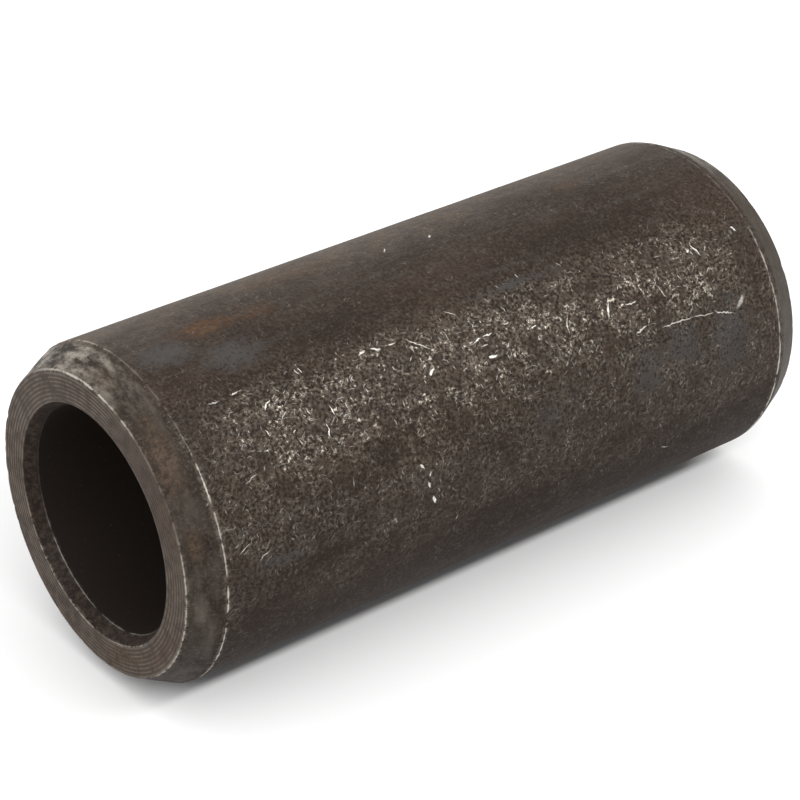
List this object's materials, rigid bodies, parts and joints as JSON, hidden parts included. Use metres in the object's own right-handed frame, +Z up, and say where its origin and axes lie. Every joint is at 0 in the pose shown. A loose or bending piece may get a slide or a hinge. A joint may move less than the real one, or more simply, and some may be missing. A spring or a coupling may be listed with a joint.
{
  "type": "spacer sleeve",
  "caption": "Thick-walled round steel spacer sleeve with a through bore, a chamfer round each end and a bevelled lead-in at each mouth; it slips over a bolt or pin and holds parts apart.",
  "frame": {"origin": "centre of the bottom end face, which the sleeve stands on", "axes": "+Z up along the axis of the bore, towards the end with the larger outer chamfer; X and Y are free, because the sleeve is round"},
  "size_m": [0.024, 0.024, 0.054],
  "materials": {
    "dark_steel": "dark oxide skin, satin, handled and lightly scratched, bare bright metal along the worn edges"
  },
  "bodies": {
    "root": {"sleeve": "dark_steel"}
  },
  "joints": []
}
